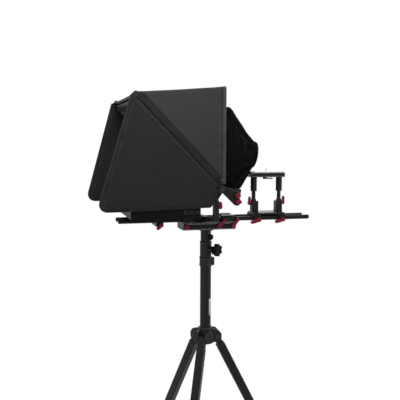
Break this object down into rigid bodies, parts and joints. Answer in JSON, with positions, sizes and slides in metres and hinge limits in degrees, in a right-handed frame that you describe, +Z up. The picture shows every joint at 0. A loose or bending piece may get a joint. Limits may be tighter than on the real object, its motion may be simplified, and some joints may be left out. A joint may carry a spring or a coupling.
{
  "type": "teleprompter",
  "caption": "Hooded teleprompter on a telescopic floor stand: an angled beam-splitter glass over a flat monitor, on rods with a camera riser and lens shroud behind.",
  "frame": {"origin": "on the floor under the stand's column", "axes": "+Z up, +X towards the camera side, -X towards the reader, -Y the side with the base levers"},
  "size_m": [0.7621, 0.659, 1.4767],
  "materials": {
    "cast_black": "painted cast, fine texture",
    "black_tube": "satin black anodised",
    "bright_tube": "satin",
    "bright_steel": "satin",
    "black_knob": "moulded, fine texture",
    "rubber": "matt",
    "black_anodised": "satin anodised",
    "red_anodised": "satin anodised",
    "lock_plastic": "moulded",
    "monitor_shell": "fine texture",
    "monitor_screen": "glossy",
    "mirror_glass": "half-silvered",
    "hood_cloth": "stiffened woven cloth",
    "shroud_cloth": "matt napped cloth"
  },
  "bodies": {
    "stand": {"spider": "cast_black", "leg_hinge_pins": "black_anodised", "column_tube": "black_tube", "column_clamp": "cast_black"},
    "column_knob": {"star_knob": "black_knob"},
    "column": {"inner_column": "black_tube"},
    "head": {"top_socket": "cast_black", "base_plate": "black_anodised", "rod_clamps": "black_anodised", "rods": "black_tube", "yoke": "black_anodised"},
    "socket_knob": {"socket_knob": "black_knob"},
    "base_knob_front": {"base_knob_front": "red_anodised"},
    "base_lever_middle": {"base_lever_middle": "red_anodised"},
    "base_lever_rear": {"base_lever_rear": "red_anodised"},
    "monitor": {"monitor_cradle": "black_anodised", "monitor_case": "monitor_shell", "monitor_bezel": "monitor_shell", "monitor_screen": "monitor_screen", "monitor_ports": "black_anodised"},
    "monitor_lever": {"monitor_lever": "red_anodised"},
    "mirror_carrier": {"lift_arms": "black_anodised", "mirror_hinge_pins": "black_anodised"},
    "upright_knob_left": {"upright_knob_left": "red_anodised"},
    "upright_knob_right": {"upright_knob_right": "red_anodised"},
    "mirror": {"mirror_frame": "black_anodised", "mirror_glass": "mirror_glass", "hood_wing_left": "hood_cloth", "hood_wing_right": "hood_cloth", "hood_sides": "hood_cloth", "hood_roof": "hood_cloth", "hood_rear_band": "hood_cloth", "lens_shroud": "shroud_cloth"},
    "angle_knob_left": {"angle_knob_left": "red_anodised"},
    "angle_knob_right": {"angle_knob_right": "red_anodised"},
    "angle_lever_left": {"angle_lever_left": "red_anodised"},
    "angle_lever_right": {"angle_lever_right": "red_anodised"},
    "riser": {"riser_base": "black_anodised"},
    "riser_clamp_lever_front": {"riser_clamp_lever_front": "red_anodised"},
    "riser_clamp_lever_rear": {"riser_clamp_lever_rear": "red_anodised"},
    "camera_table": {"riser_posts": "black_anodised", "camera_plate": "black_anodised"},
    "riser_lever_front": {"riser_lever_front": "red_anodised"},
    "riser_lever_rear": {"riser_lever_rear": "red_anodised"},
    "quick_plate": {"quick_plate": "bright_tube"},
    "camera_screw": {"camera_screw": "bright_steel"},
    "release_lever": {"release_lever": "black_anodised"},
    "leg_rear": {"leg_upper_rear": "black_tube"},
    "leg_slide_rear": {"leg_lower_rear": "black_tube", "leg_foot_rear": "rubber"},
    "leg_lock_rear": {"leg_lock_rear": "lock_plastic"},
    "leg_left": {"leg_upper_left": "black_tube"},
    "leg_slide_left": {"leg_lower_left": "black_tube", "leg_foot_left": "rubber"},
    "leg_lock_left": {"leg_lock_left": "lock_plastic"},
    "leg_right": {"leg_upper_right": "black_tube"},
    "leg_slide_right": {"leg_lower_right": "black_tube", "leg_foot_right": "rubber"},
    "leg_lock_right": {"leg_lock_right": "lock_plastic"}
  },
  "joints": [
    {"name": "leg_fold_rear", "type": "hinge", "parent": "stand", "child": "leg_rear", "pos_m": [0.038, 0, 0.62994], "axis": [0, 1, 0], "range_deg": [0, 24]},
    {"name": "leg_extend_rear", "type": "slide", "parent": "leg_rear", "child": "leg_slide_rear", "axis": [0.454, 0, -0.891], "range_m": [0, 0.2]},
    {"name": "leg_lock_rear_flip", "type": "hinge", "parent": "leg_rear", "child": "leg_lock_rear", "pos_m": [0.26459, 0, 0.2381], "axis": [0, 1, 0], "range_deg": [0, 100]},
    {"name": "leg_fold_left", "type": "hinge", "parent": "stand", "child": "leg_left", "pos_m": [-0.019, -0.03291, 0.62994], "axis": [0.866, -0.5, 0], "range_deg": [0, 24]},
    {"name": "leg_extend_left", "type": "slide", "parent": "leg_left", "child": "leg_slide_left", "axis": [-0.227, -0.3932, -0.891], "range_m": [0, 0.2]},
    {"name": "leg_lock_left_flip", "type": "hinge", "parent": "leg_left", "child": "leg_lock_left", "pos_m": [-0.13229, -0.22914, 0.2381], "axis": [0.866, -0.5, 0], "range_deg": [0, 100]},
    {"name": "leg_fold_right", "type": "hinge", "parent": "stand", "child": "leg_right", "pos_m": [-0.019, 0.03291, 0.62994], "axis": [-0.866, -0.5, 0], "range_deg": [0, 24]},
    {"name": "leg_extend_right", "type": "slide", "parent": "leg_right", "child": "leg_slide_right", "axis": [-0.227, 0.3932, -0.891], "range_m": [0, 0.2]},
    {"name": "leg_lock_right_flip", "type": "hinge", "parent": "leg_right", "child": "leg_lock_right", "pos_m": [-0.13229, 0.22914, 0.2381], "axis": [-0.866, -0.5, 0], "range_deg": [0, 100]},
    {"name": "column_knob_turn", "type": "hinge", "parent": "stand", "child": "column_knob", "pos_m": [0, 0, 0.93894], "axis": [0.6157, -0.788, 0], "continuous": true},
    {"name": "column_lift", "type": "slide", "parent": "stand", "child": "column", "axis": [0, 0, 1], "range_m": [0, 0.16]},
    {"name": "head_pan", "type": "hinge", "parent": "column", "child": "head", "pos_m": [0, 0, 0.98194], "axis": [0, 0, 1], "continuous": true},
    {"name": "socket_knob_turn", "type": "hinge", "parent": "head", "child": "socket_knob", "pos_m": [0, 0, 0.98194], "axis": [0.5, -0.866, 0], "continuous": true},
    {"name": "base_knob_front_turn", "type": "hinge", "parent": "head", "child": "base_knob_front", "pos_m": [-0.08, -0.0435, 1.02294], "axis": [0, -1, 0], "continuous": true},
    {"name": "base_lever_middle_turn", "type": "hinge", "parent": "head", "child": "base_lever_middle", "pos_m": [0.034, -0.0435, 1.02294], "axis": [0, -1, 0], "range_deg": [-120, 30]},
    {"name": "base_lever_rear_turn", "type": "hinge", "parent": "head", "child": "base_lever_rear", "pos_m": [0.084, -0.0435, 1.02294], "axis": [0, -1, 0], "range_deg": [-120, 30]},
    {"name": "monitor_slide", "type": "slide", "parent": "head", "child": "monitor", "axis": [1, 0, 0], "range_m": [-0.04, 0.03]},
    {"name": "monitor_lever_turn", "type": "hinge", "parent": "monitor", "child": "monitor_lever", "pos_m": [-0.166, -0.043, 1.03194], "axis": [0, -1, 0], "range_deg": [-60, 60]},
    {"name": "mirror_lift", "type": "slide", "parent": "head", "child": "mirror_carrier", "axis": [0, 0, 1], "range_m": [0, 0.03]},
    {"name": "upright_knob_left_turn", "type": "hinge", "parent": "head", "child": "upright_knob_left", "pos_m": [-0.006, -0.165, 1.10494], "axis": [1, 0, 0], "continuous": true},
    {"name": "upright_knob_right_turn", "type": "hinge", "parent": "head", "child": "upright_knob_right", "pos_m": [-0.006, 0.165, 1.10494], "axis": [1, 0, 0], "continuous": true},
    {"name": "mirror_tilt", "type": "hinge", "parent": "mirror_carrier", "child": "mirror", "pos_m": [0, 0, 1.15994], "axis": [0, -1, 0], "range_deg": [0, 8]},
    {"name": "angle_knob_left_turn", "type": "hinge", "parent": "mirror", "child": "angle_knob_left", "pos_m": [0.052, -0.185, 1.13794], "axis": [0, -1, 0], "continuous": true},
    {"name": "angle_lever_left_turn", "type": "hinge", "parent": "mirror", "child": "angle_lever_left", "pos_m": [0.052, -0.185, 1.11794], "axis": [0, -1, 0], "range_deg": [-60, 60]},
    {"name": "angle_knob_right_turn", "type": "hinge", "parent": "mirror", "child": "angle_knob_right", "pos_m": [0.052, 0.185, 1.13794], "axis": [0, 1, 0], "continuous": true},
    {"name": "angle_lever_right_turn", "type": "hinge", "parent": "mirror", "child": "angle_lever_right", "pos_m": [0.052, 0.185, 1.11794], "axis": [0, 1, 0], "range_deg": [-60, 60]},
    {"name": "riser_slide", "type": "slide", "parent": "head", "child": "riser", "axis": [1, 0, 0], "range_m": [0, 0.07]},
    {"name": "riser_clamp_lever_front_turn", "type": "hinge", "parent": "riser", "child": "riser_clamp_lever_front", "pos_m": [0.1755, -0.043, 1.03994], "axis": [0, -1, 0], "range_deg": [-60, 60]},
    {"name": "riser_clamp_lever_rear_turn", "type": "hinge", "parent": "riser", "child": "riser_clamp_lever_rear", "pos_m": [0.2645, -0.043, 1.03994], "axis": [0, -1, 0], "range_deg": [-60, 60]},
    {"name": "table_lift", "type": "slide", "parent": "riser", "child": "camera_table", "axis": [0, 0, 1], "range_m": [-0.025, 0]},
    {"name": "riser_lever_front_turn", "type": "hinge", "parent": "riser", "child": "riser_lever_front", "pos_m": [0.164, 0, 1.09494], "axis": [-1, 0, 0], "range_deg": [-60, 60]},
    {"name": "riser_lever_rear_turn", "type": "hinge", "parent": "riser", "child": "riser_lever_rear", "pos_m": [0.276, 0, 1.09494], "axis": [1, 0, 0], "range_deg": [-60, 60]},
    {"name": "quick_slide", "type": "slide", "parent": "camera_table", "child": "quick_plate", "axis": [1, 0, 0], "range_m": [0, 0.03]},
    {"name": "camera_screw_turn", "type": "hinge", "parent": "quick_plate", "child": "camera_screw", "pos_m": [0.22, 0, 1.20194], "axis": [0, 0, 1], "continuous": true},
    {"name": "release_lever_swing", "type": "hinge", "parent": "camera_table", "child": "release_lever", "pos_m": [0.205, -0.023, 1.18594], "axis": [0, 0, -1], "range_deg": [0, 75]}
  ]
}
